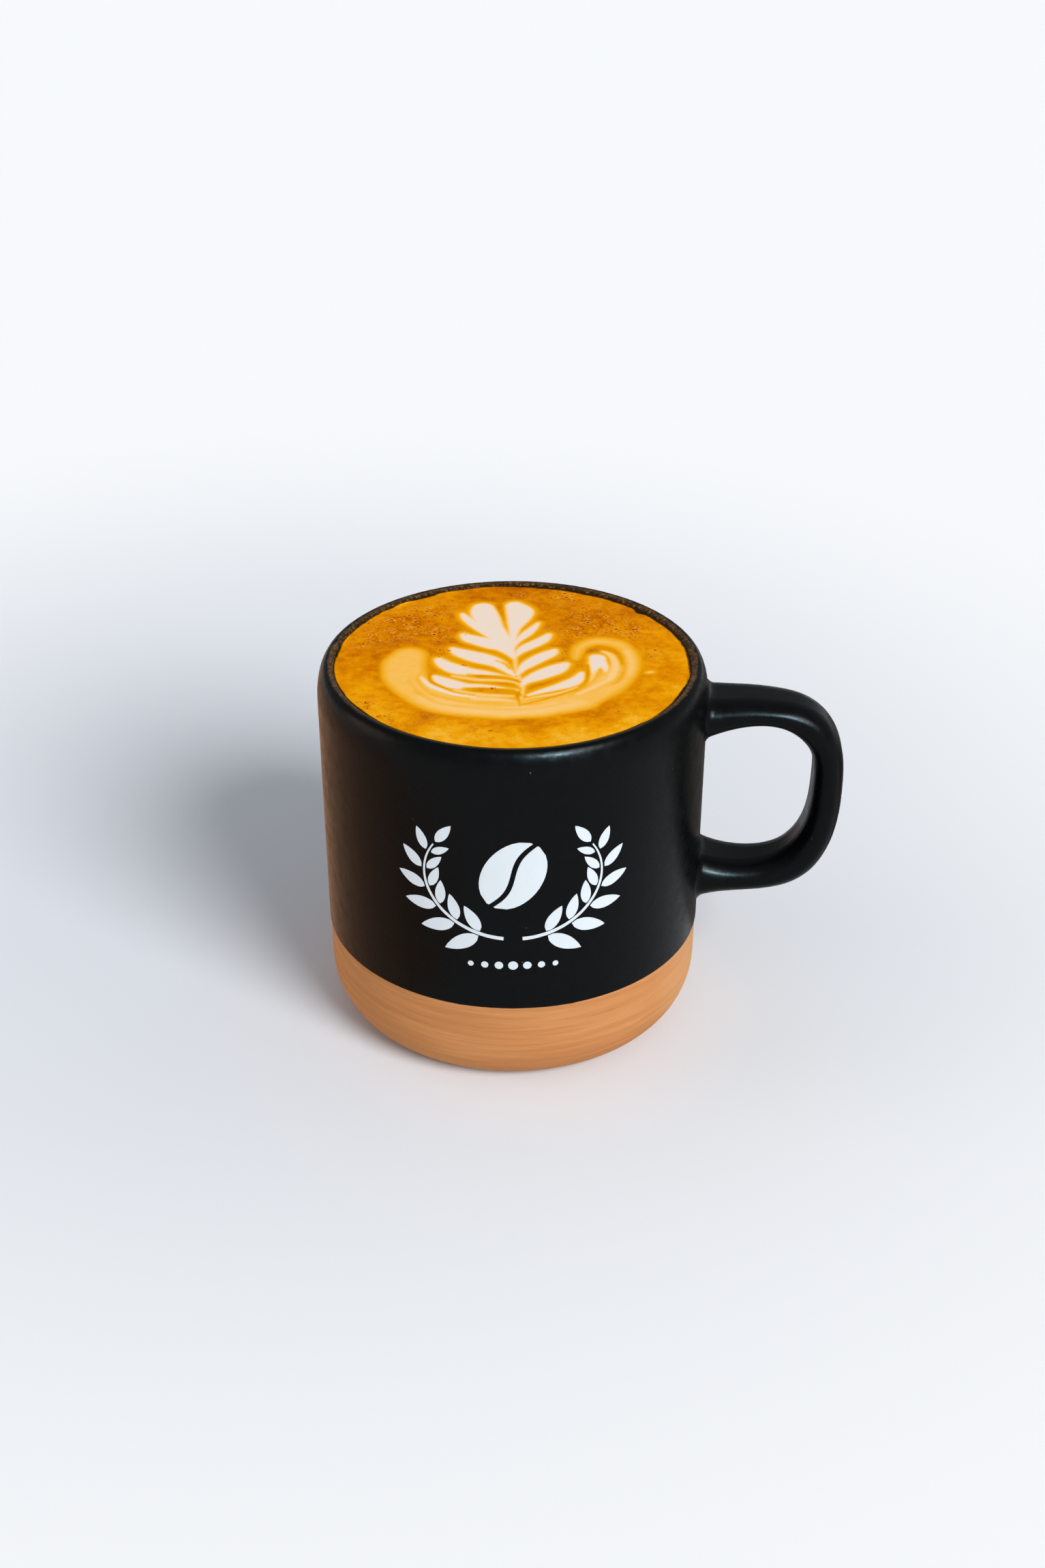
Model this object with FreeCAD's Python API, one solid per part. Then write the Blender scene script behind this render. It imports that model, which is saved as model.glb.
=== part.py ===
import FreeCAD
import Part

import math
import os

# A cup of milk coffee: one straight-sided ceramic mug, filled to the brim,
# with a leaf poured in milk foam. Millimetres, +Z up. The origin is on the
# mug's axis, on the plane it stands on, and the handle points along +X.

# --- driving dimensions -----------------------------------------------------

MUG_RADIUS = 42.0          # at the shoulder, under the lip
MUG_HEIGHT = 83.8
DRAFT = 0.5                # how much narrower the straight wall is at the heel
WALL = 4.0
FLOOR = 5.2                # thickness of the bottom over the foot recess

LIP_OUT = 2.3              # the lip's outer round, radial and vertical
LIP_OUT_DROP = 7.0
LIP_IN = 1.8               # the lip's tighter inner round
LIP_IN_DROP = 1.2

HEEL = 10.0                # the round from wall to foot, radial and vertical
HEEL_RISE = 12.3
INNER_CORNER = 8.0

FOOT_WIDTH = 4.0           # the ring the mug stands on
FOOT_DEPTH = 1.2
FOOT_ROUND = 0.5

GLAZE_LINE = 22.0          # bare clay below, glaze above
GLAZE_THICK = 0.25

HANDLE_WIDTH = 12.7        # across, in the middle of the loop
HANDLE_ROUND = 4.4         # how far across its soft corners reach
HANDLE_NOSE = 0.46         # the share of its thickness that each corner takes
HANDLE_SECTIONS = 25
ROOT_WIDTH = 16.5          # across, where it enters the wall
ROOT_FLARE = 0.29          # the share of the loop's length that widens
ROOT_ROUND = 2.2           # fillet where it meets the body

# The handle's loop, from the upper root round to the lower one: the x and z
# of its middle line, and how thick it is there. The upper arm is nearly
# level, the upper bend tight, and the lower bend wide.
HANDLE_LOOP = [
    (39.6, 72.5, 9.6),
    (48.5, 73.9, 6.6),
    (58.6, 73.4, 6.1),
    (62.2, 72.0, 6.7),
    (67.5, 66.1, 6.6),
    (68.8, 56.7, 6.6),
    (65.9, 40.8, 7.4),
    (62.8, 36.7, 7.9),
    (49.5, 33.1, 7.3),
    (39.6, 33.4, 12.7),
]

BRIM_GAP = 0.6             # from the crest of the lip down to the coffee

FOAM_THICK = 0.6           # the poured milk, let into the coffee's top
ART_TURN = 3.0             # degrees that the leaf leans towards the handle

# The leaf's stem, from its foot in the wing to its crown.
STEM = [(1.5, -20.0), (1.3, -9.0), (0.2, 0.0), (-0.8, 12.0), (-1.0, 18.0)]
STEM_WIDTH = 1.5

# Each leaflet: where its tip is, where it leaves the stem, and its width.
LEAFLETS = [
    ((-6.6, 29.0), (-0.9, 15.0), 7.0),
    ((-11.2, 23.4), (-0.7, 13.0), 5.4),
    ((-11.8, 13.6), (-0.1, 5.0), 3.6),
    ((-13.6, 7.2), (0.4, -1.5), 4.0),
    ((-16.6, 1.6), (1.2, -7.5), 4.0),
    ((-17.2, -5.6), (1.5, -13.0), 3.4),
    ((0.6, 30.6), (-0.8, 13.0), 7.0),
    ((6.0, 20.4), (-0.4, 9.0), 4.6),
    ((9.0, 13.8), (0.3, 3.5), 4.2),
    ((10.0, 6.4), (1.0, -4.0), 3.8),
    ((12.0, -0.6), (1.3, -8.5), 3.6),
    ((15.4, -4.2), (1.5, -13.5), 3.6),
]

# The wing of milk that holds the leaf: its outer edge from the left lobe
# round the front of the cup to the curl at the right, and back inside.
WING_OUTER = [
    (-22.0, 6.5),
    (-26.6, 3.0),
    (-27.6, -3.5),
    (-25.8, -10.5),
    (-21.0, -17.0),
    (-13.0, -22.2),
    (-3.0, -24.7),
    (7.0, -24.2),
    (15.5, -20.2),
    (22.2, -12.6),
    (26.0, -4.0),
    (26.2, 4.5),
    (22.8, 10.6),
    (17.6, 11.6),
]
WING_INNER = [
    (14.6, 8.4),
    (17.8, 8.0),
    (21.2, 5.6),
    (22.4, 0.0),
    (20.4, -7.0),
    (15.0, -13.6),
    (7.5, -17.4),
    (0.0, -18.2),
    (-8.5, -16.8),
    (-15.0, -12.4),
    (-18.6, -6.4),
    (-18.4, 0.0),
    (-18.8, 4.6),
]

# The curl inside the wing's right end, drawn down into the wing.
CURL = [
    (18.2, 3.9),
    (20.4, 1.2),
    (19.2, -5.6),
    (15.2, -14.4),
    (15.4, -6.6),
    (15.7, 1.2),
]


# --- small makers of wires and solids ---------------------------------------

def point(x, y, z=0.0):
    return FreeCAD.Vector(x, y, z)


def quarter(start, corner, end):
    """A quarter of an ellipse from start to end that rounds the corner."""
    curve = Part.BezierCurve()
    curve.setPoles([start, corner, end])
    curve.setWeight(2, math.sqrt(0.5))
    return curve.toShape()


def outline(steps):
    """A wire in the XZ plane. A step is a corner (r, z), or a pair of
    (corner, end) where that corner is rounded on the way to the end."""
    edges = []
    here = point(steps[0][0], 0, steps[0][1])
    for step in steps[1:]:
        if isinstance(step[0], tuple):
            corner, end = [point(r, 0, z) for r, z in step]
            edges.append(quarter(here, corner, end))
        else:
            end = point(step[0], 0, step[1])
            edges.append(Part.makeLine(here, end))
        here = end
    return Part.Wire(edges)


def turned(steps):
    """The solid that a closed outline makes when it is turned about Z. Its
    seam lies at -X, away from the handle."""
    face = Part.Face(outline(steps + [steps[0]]))
    face.rotate(point(0, 0), point(0, 0, 1), 180)
    return face.revolve(point(0, 0), point(0, 0, 1), 360)


def one_solid(shape):
    """The single solid in a boolean's result, with its split faces joined."""
    shape = shape.removeSplitter()
    assert len(shape.Solids) == 1, len(shape.Solids)
    solid = shape.Solids[0]
    assert solid.isValid()
    return solid


# --- the mug ----------------------------------------------------------------

crest_r = MUG_RADIUS - LIP_OUT
heel_r = MUG_RADIUS - DRAFT
foot_r = heel_r - HEEL
inner_r = crest_r - LIP_IN
inner_low_r = heel_r - WALL
brim_z = MUG_HEIGHT - BRIM_GAP


def wall_radius(z):
    """The glazed outside of the wall, which narrows a little downwards."""
    share = (z - HEEL_RISE) / (MUG_HEIGHT - LIP_OUT_DROP - HEEL_RISE)
    return heel_r + DRAFT * share


def mug_outside():
    clay_r = wall_radius(GLAZE_LINE) - GLAZE_THICK
    ring_in = foot_r - FOOT_WIDTH
    return turned([
        (0.0, FOOT_DEPTH),
        (ring_in - FOOT_ROUND, FOOT_DEPTH),
        ((ring_in, FOOT_DEPTH), (ring_in, 0.0)),
        (foot_r, 0.0),
        ((heel_r - GLAZE_THICK, 0.0), (heel_r - GLAZE_THICK, HEEL_RISE)),
        (clay_r, GLAZE_LINE),
        (wall_radius(GLAZE_LINE + GLAZE_THICK), GLAZE_LINE + GLAZE_THICK),
        (MUG_RADIUS, MUG_HEIGHT - LIP_OUT_DROP),
        ((MUG_RADIUS, MUG_HEIGHT), (crest_r, MUG_HEIGHT)),
        (0.0, MUG_HEIGHT),
    ])


def cavity():
    """The inside of the mug, as a solid up to the crest of the lip."""
    floor_z = FOOT_DEPTH + FLOOR
    return turned([
        (0.0, floor_z),
        (inner_low_r - INNER_CORNER, floor_z),
        ((inner_low_r, floor_z), (inner_low_r, floor_z + INNER_CORNER)),
        (inner_r, MUG_HEIGHT - LIP_IN_DROP),
        ((inner_r, MUG_HEIGHT), (crest_r, MUG_HEIGHT)),
        (0.0, MUG_HEIGHT),
    ])


def handle_section(centre, along, width, thick):
    """A soft-cornered oblong across the handle: its width lies along Y, its
    thickness in the plane of the loop, square to the direction along."""
    across = point(0, 1, 0)
    up = across.cross(along)
    corners = []
    for side_w, side_t in ((1, 1), (-1, 1), (-1, -1), (1, -1)):
        corner = centre + across * (side_w * width / 2) + up * (side_t * thick / 2)
        on_edge = corner - up * (side_t * thick * HANDLE_NOSE)
        on_face = corner - across * (side_w * HANDLE_ROUND)
        if side_w == side_t:
            corners.append((on_edge, corner, on_face))
        else:
            corners.append((on_face, corner, on_edge))
    edges = []
    for corner, following in zip(corners, corners[1:] + corners[:1]):
        edges.append(quarter(*corner))
        edges.append(Part.makeLine(corner[2], following[0]))
    return Part.Wire(edges)


def smooth_line(points, stations):
    """A curve that passes each point at its own station."""
    curve = Part.BSplineCurve()
    curve.interpolate(Points=points, Parameters=stations)
    return curve


def handle():
    """The loop: rounded sections lofted along its middle line, wider where
    they come out of the wall."""
    corners = [point(x, 0, z) for x, z, thick in HANDLE_LOOP]
    stations = [0.0]
    for before, after in zip(corners, corners[1:]):
        stations.append(stations[-1] + (after - before).Length)
    path = smooth_line(corners, stations)
    depths = [point(station, loop[2]) for station, loop in zip(stations, HANDLE_LOOP)]
    depth = smooth_line(depths, stations)
    sections = []
    for number in range(HANDLE_SECTIONS):
        share = number / (HANDLE_SECTIONS - 1)
        station = share * stations[-1]
        along = point(*path.tangent(station)[0])
        near_root = max(0.0, 1.0 - min(share, 1.0 - share) / ROOT_FLARE) ** 2
        width = HANDLE_WIDTH + (ROOT_WIDTH - HANDLE_WIDTH) * near_root
        thick = depth.value(station).y
        sections.append(handle_section(path.value(station), along, width, thick))
    return Part.makeLoft(sections, True, False)


def root_edges(body):
    """The edges where the handle's faces meet the wall."""
    found = []
    for edge in body.Edges:
        box = edge.BoundBox
        beside_wall = box.XMin > MUG_RADIUS - 5 and box.XMax < MUG_RADIUS + 1
        if beside_wall and box.YLength < ROOT_WIDTH:
            found.append(edge)
    return found


def mug():
    body = one_solid(mug_outside().fuse(handle()))
    body = body.makeFillet(ROOT_ROUND, root_edges(body))
    return one_solid(body.cut(cavity()))


# --- the drink --------------------------------------------------------------

def leaf_outline(tip, root, width):
    """A leaflet's two sides: drawn out to a point at the stem, round at the
    tip."""
    start = point(*root)
    end = point(*tip)
    along = end - start
    side = point(-along.y, along.x).normalize() * width
    edges = []
    for hand in (side, -side):
        half = Part.BezierCurve()
        half.setPoles([start, start + along * 0.6 + hand * 0.45, end + hand * 0.7, end])
        edges.append(half.toShape())
    return edges


def slab(edges):
    """The foam's full depth under a closed outline on the coffee's top."""
    face = Part.Face(Part.Wire(edges))
    face.translate(point(0, 0, brim_z - FOAM_THICK))
    return face.extrude(point(0, 0, FOAM_THICK))


def closed_curve(corners):
    """A smooth ring through the corners, on the ground plane."""
    curve = Part.BSplineCurve()
    curve.interpolate(Points=[point(x, y) for x, y in corners], PeriodicFlag=True)
    return curve.toShape()


def stem():
    """The leaf's middle rib: the line of the stem, widened to both sides."""
    middle = smooth_line([point(x, y) for x, y in STEM], list(range(len(STEM))))
    sides = []
    for hand in (1, -1):
        edge = []
        for number in range(4 * len(STEM) - 3):
            at = number / 4
            along = point(*middle.tangent(at)[0])
            edge.append(middle.value(at) + point(-along.y, along.x) * (hand * STEM_WIDTH / 2))
        sides.append(edge)
    left, right = sides
    around = Part.BSplineCurve()
    around.interpolate(Points=left + right[::-1], PeriodicFlag=True)
    return slab([around.toShape()])


def milk_foam():
    """The poured leaf: a wing round the front, a stem and its leaflets."""
    wing = slab([closed_curve(WING_OUTER + WING_INNER)])
    leaflets = [slab(leaf_outline(tip, root, width)) for tip, root, width in LEAFLETS]
    curl = slab([closed_curve(CURL)])
    art = one_solid(wing.multiFuse([stem(), curl] + leaflets))
    art.rotate(point(0, 0), point(0, 0, 1), ART_TURN)
    return art


def coffee(foam):
    """The drink up to its level, with the foam's bed cut from its top."""
    above = Part.makeBox(4 * MUG_RADIUS, 4 * MUG_RADIUS, MUG_HEIGHT)
    above.translate(point(-2 * MUG_RADIUS, -2 * MUG_RADIUS, brim_z))
    return one_solid(cavity().cut(above).cut(foam))


# --- the files --------------------------------------------------------------

foam = milk_foam()
pieces = {
    "mug": mug(),
    "coffee": coffee(foam),
    "milk_foam": foam,
}
os.makedirs("parts", exist_ok=True)
for name, shape in pieces.items():
    shape.exportStep("parts/" + name + ".step")
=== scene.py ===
import math

import bmesh
import bpy
import numpy as np
from mathutils import Matrix, Vector, noise
from mathutils.bvhtree import BVHTree


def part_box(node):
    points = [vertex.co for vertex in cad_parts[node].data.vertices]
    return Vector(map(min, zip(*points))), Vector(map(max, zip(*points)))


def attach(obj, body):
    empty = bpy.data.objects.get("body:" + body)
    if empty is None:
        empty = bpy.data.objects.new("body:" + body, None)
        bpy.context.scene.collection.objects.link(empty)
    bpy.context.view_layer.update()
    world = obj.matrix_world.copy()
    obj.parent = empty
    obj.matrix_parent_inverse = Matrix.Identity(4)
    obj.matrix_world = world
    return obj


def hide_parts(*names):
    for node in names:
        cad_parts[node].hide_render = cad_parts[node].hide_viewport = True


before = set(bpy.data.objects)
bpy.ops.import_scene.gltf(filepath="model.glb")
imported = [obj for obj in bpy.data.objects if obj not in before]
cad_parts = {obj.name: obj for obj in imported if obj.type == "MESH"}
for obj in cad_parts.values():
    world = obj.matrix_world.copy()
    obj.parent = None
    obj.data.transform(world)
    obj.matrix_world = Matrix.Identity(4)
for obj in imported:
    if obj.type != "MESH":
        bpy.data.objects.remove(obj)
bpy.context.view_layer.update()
mug_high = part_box("mug")[1]
drink_low, drink_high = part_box("coffee")

# --- the view ---------------------------------------------------------------
# Seen from the front and above, with the handle to the right and turned a
# touch towards the eye.

VIEW_TURN = math.radians(3.0)
EYE = Vector((0.0, -0.4164, 0.2944))
LOOK_AT = Vector((0.0022, 0.0138, 0.0450))
VIEW_ROLL = 0.0012
LENS_LENGTH = 50.0
LENS_FRAME = 36.0

turn_view = Matrix.Rotation(VIEW_TURN, 3, "Z")
lens = bpy.data.cameras.new("view")
lens.lens = LENS_LENGTH
lens.sensor_width = LENS_FRAME
camera = bpy.data.objects.new("view", lens)
bpy.context.scene.collection.objects.link(camera)
camera.location = turn_view @ EYE
looking = (turn_view @ (LOOK_AT - EYE)).to_track_quat("-Z", "Y").to_matrix()
camera.rotation_euler = (looking @ Matrix.Rotation(VIEW_ROLL, 3, "Z")).to_euler()
bpy.context.scene.camera = camera
bpy.context.scene.view_settings.view_transform = "Standard"

# --- the floor --------------------------------------------------------------
# A wide, pale, matt paper sweep that the mug stands on, with a soft painted
# shadow round a spot behind and to the left of the mug.

FLOOR_REACH = 4.0
PAINTED_SHADOW_MIDDLE = (-0.06, 0.07, 0.0)
PAINTED_SHADOW_REACH = (0.05, 0.30)
PAINTED_SHADOW_TONE = (0.710, 0.748, 0.812, 1.0)
FLOOR_FAR = (0.935, 0.96, 0.99, 1.0)


def plain_piece(name, mesh_maker):
    """One object in the row's frame, from what the maker puts in a bmesh."""
    shape = bmesh.new()
    mesh_maker(shape)
    mesh = bpy.data.meshes.new(name)
    shape.to_mesh(mesh)
    shape.free()
    piece = bpy.data.objects.new(name, mesh)
    bpy.context.scene.collection.objects.link(piece)
    return piece


def material_parts(name):
    """A new material, its nodes and links, and its surface shader."""
    material = bpy.data.materials.new(name)
    material.use_nodes = True
    tree = material.node_tree
    return material, tree.nodes, tree.links, tree.nodes["Principled BSDF"]


def floor_shape(shape):
    """A disc, far wider than the view."""
    bmesh.ops.create_circle(shape, cap_ends=True, segments=96, radius=FLOOR_REACH)


def floor_finish():
    material, nodes, links, surface = material_parts("pale_paper_painted_shadow")
    away = nodes.new("ShaderNodeVectorMath")
    away.operation = "DISTANCE"
    away.inputs[1].default_value = PAINTED_SHADOW_MIDDLE
    links.new(nodes.new("ShaderNodeTexCoord").outputs["Object"], away.inputs[0])
    # Painted shadow: the paper darkens towards a spot behind and to the left of the mug.
    fade = nodes.new("ShaderNodeValToRGB")
    fade.color_ramp.interpolation = "EASE"
    for stop, position, tone in zip(fade.color_ramp.elements, PAINTED_SHADOW_REACH, (PAINTED_SHADOW_TONE, FLOOR_FAR)):
        stop.position = position
        stop.color = tone
    links.new(away.outputs["Value"], fade.inputs["Fac"])
    links.new(fade.outputs["Color"], surface.inputs["Base Color"])
    surface.inputs["Roughness"].default_value = 0.9
    surface.inputs["Specular IOR Level"].default_value = 0.0
    return material


floor = plain_piece("floor", floor_shape)
floor.data.materials.append(floor_finish())

# --- the mug ----------------------------------------------------------------
# Thrown red clay, bare round the heel and foot and dipped in a satin black
# glaze above. The glaze ends in a fine, slightly uneven edge, and a splashed
# film of coffee has dried inside the lip, at the back and sides.

GLAZE_LINE = 0.0221        # how high above the foot the glaze ends
GLAZE_WANDER = 0.0008      # how far its edge strays up and down
GLAZE_FEATHER = 0.00006    # how softly its edge runs out
GLAZE_TONE = (0.0020, 0.0023, 0.0025, 1.0)
GLAZE_ROUGH = (0.26, 0.36)
GLAZE_RIPPLE = 0.14        # its waviness, as a share of the clay's lines
DUST_TONE = (0.10, 0.10, 0.10, 1.0)
CLAY_TONE = (0.54, 0.245, 0.088, 1.0)
CLAY_DARK = (0.40, 0.150, 0.050, 1.0)
CLAY_PAINTED_LIGHT = (0.62, 0.350, 0.165, 1.0)
PAINTED_LIGHT_FROM, PAINTED_LIGHT_TO = 0.032, 0.041      # how far towards the handle the clay has painted light
CLAY_ROUGH = 0.72
CLAY_LINES = 0.00012       # how deep its turning lines are
FILM_EDGE = 0.0398         # how far from the middle the film reaches
FILM_FEATHER = 0.0004
FILM_STRAY = 0.0010        # how far its edge strays inwards
FILM_DEPTH = (0.004, 0.002)            # how far under the crest it starts, and is full
FILM_FRONT = (-0.031, -0.016)          # it is absent in front of here, and full behind
WALL_FACE = (0.0384, 0.0391)           # from the upright wall out to the lip's bend
FILM_OLIVE = (0.016, 0.012, 0.004, 1.0)
FILM_BROWN = (0.074, 0.032, 0.008, 1.0)
FILM_PALE = (0.150, 0.088, 0.040, 1.0)
FILM_GOLD = (0.300, 0.130, 0.015, 1.0)


def group_with(name, takes, gives):
    """An empty shader node group with the named sockets."""
    group = bpy.data.node_groups.new(name, "ShaderNodeTree")
    for socket, kind, value in takes:
        made = group.interface.new_socket(name=socket, in_out="INPUT", socket_type="NodeSocket" + kind)
        if value is not None:
            made.default_value = value
    for socket, kind in gives:
        group.interface.new_socket(name=socket, in_out="OUTPUT", socket_type="NodeSocket" + kind)
    return group, group.nodes.new("NodeGroupInput"), group.nodes.new("NodeGroupOutput")


def make_mottle():
    """Soft patches: noise of a given size, stretched, and cut to a mask."""
    takes = [
        ("Place", "Vector", None),
        ("Stretch", "Vector", (1.0, 1.0, 1.0)),
        ("Per Metre", "Float", 200.0),
        ("Low", "Float", 0.35),
        ("High", "Float", 0.65),
    ]
    group, given, result = group_with("mottle", takes, [("Mask", "Float")])
    stretch = group.nodes.new("ShaderNodeVectorMath")
    stretch.operation = "MULTIPLY"
    patches = group.nodes.new("ShaderNodeTexNoise")
    patches.inputs["Detail"].default_value = 4.0
    cut = group.nodes.new("ShaderNodeMapRange")
    cut.interpolation_type = "SMOOTHSTEP"
    join = group.links.new
    join(given.outputs["Place"], stretch.inputs[0])
    join(given.outputs["Stretch"], stretch.inputs[1])
    join(stretch.outputs[0], patches.inputs["Vector"])
    join(given.outputs["Per Metre"], patches.inputs["Scale"])
    join(patches.outputs[0], cut.inputs["Value"])
    join(given.outputs["Low"], cut.inputs["From Min"])
    join(given.outputs["High"], cut.inputs["From Max"])
    join(cut.outputs[0], result.inputs["Mask"])
    return group


def make_specks():
    """Small round dots strewn at random, as pits, bubbles or dust."""
    takes = [
        ("Place", "Vector", None),
        ("Per Metre", "Float", 900.0),
        ("Core", "Float", 0.10),
        ("Rim", "Float", 0.25),
    ]
    group, given, result = group_with("specks", takes, [("Mask", "Float")])
    cells = group.nodes.new("ShaderNodeTexVoronoi")
    cut = group.nodes.new("ShaderNodeMapRange")
    cut.interpolation_type = "SMOOTHSTEP"
    cut.inputs["To Min"].default_value = 1.0
    cut.inputs["To Max"].default_value = 0.0
    join = group.links.new
    join(given.outputs["Place"], cells.inputs["Vector"])
    join(given.outputs["Per Metre"], cells.inputs["Scale"])
    join(cells.outputs["Distance"], cut.inputs["Value"])
    join(given.outputs["Core"], cut.inputs["From Min"])
    join(given.outputs["Rim"], cut.inputs["From Max"])
    join(cut.outputs[0], result.inputs["Mask"])
    return group


MOTTLE = make_mottle()
SPECKS = make_specks()


def place_group(nodes, links, group, place, **values):
    """A group in a material, fed with object coordinates; gives its mask."""
    node = nodes.new("ShaderNodeGroup")
    node.node_tree = group
    links.new(place, node.inputs["Place"])
    for socket, value in values.items():
        node.inputs[socket.replace("_", " ")].default_value = value
    return node.outputs["Mask"]


def object_place(nodes):
    return nodes.new("ShaderNodeTexCoord").outputs["Object"]


def blend_tone(nodes, links, share, low, high):
    """A colour between two, each given as a value or as a socket."""
    mix = nodes.new("ShaderNodeMix")
    mix.data_type = "RGBA"
    for socket, given in ((mix.inputs[0], share), (mix.inputs[6], low), (mix.inputs[7], high)):
        if isinstance(given, bpy.types.NodeSocket):
            links.new(given, socket)
        else:
            socket.default_value = given
    return mix.outputs[2]


def sum_of(nodes, links, way, first, second):
    """One Math node on two values or sockets."""
    node = nodes.new("ShaderNodeMath")
    node.operation = way
    for socket, given in ((node.inputs[0], first), (node.inputs[1], second)):
        if isinstance(given, bpy.types.NodeSocket):
            links.new(given, socket)
        else:
            socket.default_value = given
    return node.outputs[0]


def rescale(nodes, links, value, from_low, from_high, to_low, to_high):
    node = nodes.new("ShaderNodeMapRange")
    links.new(value, node.inputs["Value"])
    ends = (from_low, from_high, to_low, to_high)
    for socket, end in zip(("From Min", "From Max", "To Min", "To Max"), ends):
        node.inputs[socket].default_value = end
    return node.outputs[0]


def relief(nodes, links, surface, height, depth):
    bump = nodes.new("ShaderNodeBump")
    bump.inputs["Distance"].default_value = depth
    links.new(height, bump.inputs["Height"])
    links.new(bump.outputs["Normal"], surface.inputs["Normal"])


def splashed_lip(nodes, links, place, apart, glaze):
    """The glaze with a dried, speckled film of coffee inside the lip."""
    across = nodes.new("ShaderNodeVectorMath")
    across.operation = "MULTIPLY"
    across.inputs[1].default_value = (1.0, 1.0, 0.0)
    links.new(place, across.inputs[0])
    reach = nodes.new("ShaderNodeVectorMath")
    reach.operation = "LENGTH"
    links.new(across.outputs[0], reach.inputs[0])
    ragged = place_group(nodes, links, MOTTLE, place, Per_Metre=600.0, Low=0.0, High=1.0)
    ragged = sum_of(nodes, links, "MULTIPLY", ragged, FILM_STRAY)
    inner = sum_of(nodes, links, "ADD", ragged, reach.outputs["Value"])
    film = rescale(nodes, links, inner, FILM_EDGE + FILM_FEATHER, FILM_EDGE, 0.0, 1.0)
    start, full = (mug_high.z - depth for depth in FILM_DEPTH)
    high = rescale(nodes, links, apart.outputs["Z"], start, full, 0.0, 1.0)
    behind = rescale(nodes, links, apart.outputs["Y"], *FILM_FRONT, 0.0, 1.0)
    film = sum_of(nodes, links, "MULTIPLY", film, sum_of(nodes, links, "MULTIPLY", high, behind))
    browned = place_group(nodes, links, MOTTLE, place, Per_Metre=170.0, Low=0.35, High=0.65)
    speckle = place_group(nodes, links, MOTTLE, place, Per_Metre=1500.0, Low=0.46, High=0.66)
    drops = place_group(nodes, links, SPECKS, place, Per_Metre=900.0, Core=0.12, Rim=0.32)
    deep = rescale(nodes, links, reach.outputs["Value"], *WALL_FACE, 0.0, 1.0)
    browned = sum_of(nodes, links, "MULTIPLY", deep, rescale(nodes, links, browned, 0.0, 1.0, 0.5, 1.0))
    stain = blend_tone(nodes, links, browned, FILM_OLIVE, FILM_BROWN)
    stain = blend_tone(nodes, links, sum_of(nodes, links, "MULTIPLY", speckle, 0.65), stain, FILM_PALE)
    stain = blend_tone(nodes, links, sum_of(nodes, links, "MULTIPLY", drops, 0.6), stain, FILM_GOLD)
    return blend_tone(nodes, links, film, glaze, stain)


def turned_clay(nodes, links, place, apart, turning):
    """Bare clay with its turning lines, made paler at the handle's side by painted light."""
    broad = place_group(
        nodes, links, MOTTLE, place, Stretch=(0.25, 0.25, 1.0), Per_Metre=120.0, Low=0.3, High=0.75
    )
    lined = sum_of(nodes, links, "MULTIPLY", turning, 0.45)
    clay = blend_tone(nodes, links, lined, CLAY_TONE, CLAY_DARK)
    clay = blend_tone(nodes, links, sum_of(nodes, links, "MULTIPLY", broad, 0.35), clay, CLAY_DARK)
    # Painted light: the clay is paler towards the handle's side.
    pale = rescale(nodes, links, apart.outputs["X"], PAINTED_LIGHT_FROM, PAINTED_LIGHT_TO, 0.0, 0.6)
    return blend_tone(nodes, links, pale, clay, CLAY_PAINTED_LIGHT)


def mug_finish():
    material, nodes, links, surface = material_parts("glaze_over_clay")
    place = object_place(nodes)
    apart = nodes.new("ShaderNodeSeparateXYZ")
    links.new(place, apart.inputs[0])
    wander = place_group(nodes, links, MOTTLE, place, Per_Metre=90.0, Low=0.0, High=1.0)
    wander = sum_of(nodes, links, "MULTIPLY", wander, GLAZE_WANDER)
    edge = sum_of(nodes, links, "ADD", wander, GLAZE_LINE - GLAZE_WANDER / 2)
    above = sum_of(nodes, links, "SUBTRACT", apart.outputs["Z"], edge)
    glazed = rescale(nodes, links, above, -GLAZE_FEATHER, GLAZE_FEATHER, 0.0, 1.0)
    turning = place_group(
        nodes, links, MOTTLE, place, Stretch=(0.05, 0.05, 1.0), Per_Metre=900.0, Low=0.3, High=0.7
    )
    clay = turned_clay(nodes, links, place, apart, turning)
    dust = place_group(nodes, links, SPECKS, place, Per_Metre=150.0, Core=0.012, Rim=0.03)
    glaze = blend_tone(nodes, links, dust, GLAZE_TONE, DUST_TONE)
    glaze = splashed_lip(nodes, links, place, apart, glaze)
    links.new(blend_tone(nodes, links, glazed, clay, glaze), surface.inputs["Base Color"])

    scuffs = place_group(nodes, links, MOTTLE, place, Per_Metre=350.0, Low=0.35, High=0.75)
    satin = rescale(nodes, links, scuffs, 0.0, 1.0, *GLAZE_ROUGH)
    gloss = nodes.new("ShaderNodeMix")
    links.new(glazed, gloss.inputs[0])
    gloss.inputs[2].default_value = CLAY_ROUGH
    links.new(satin, gloss.inputs[3])
    links.new(gloss.outputs[0], surface.inputs["Roughness"])
    surface.inputs["Specular IOR Level"].default_value = 0.07

    lines = sum_of(nodes, links, "MULTIPLY", turning, sum_of(nodes, links, "SUBTRACT", 1.0, glazed))
    ripples = place_group(nodes, links, MOTTLE, place, Per_Metre=420.0, Low=0.2, High=0.8)
    glazed = sum_of(nodes, links, "MULTIPLY", glazed, GLAZE_RIPPLE)
    ripples = sum_of(nodes, links, "MULTIPLY", ripples, glazed)
    relief(nodes, links, surface, sum_of(nodes, links, "ADD", lines, ripples), CLAY_LINES)
    return material


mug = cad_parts["mug"]
mug.material_slots[0].material = mug_finish()

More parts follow.
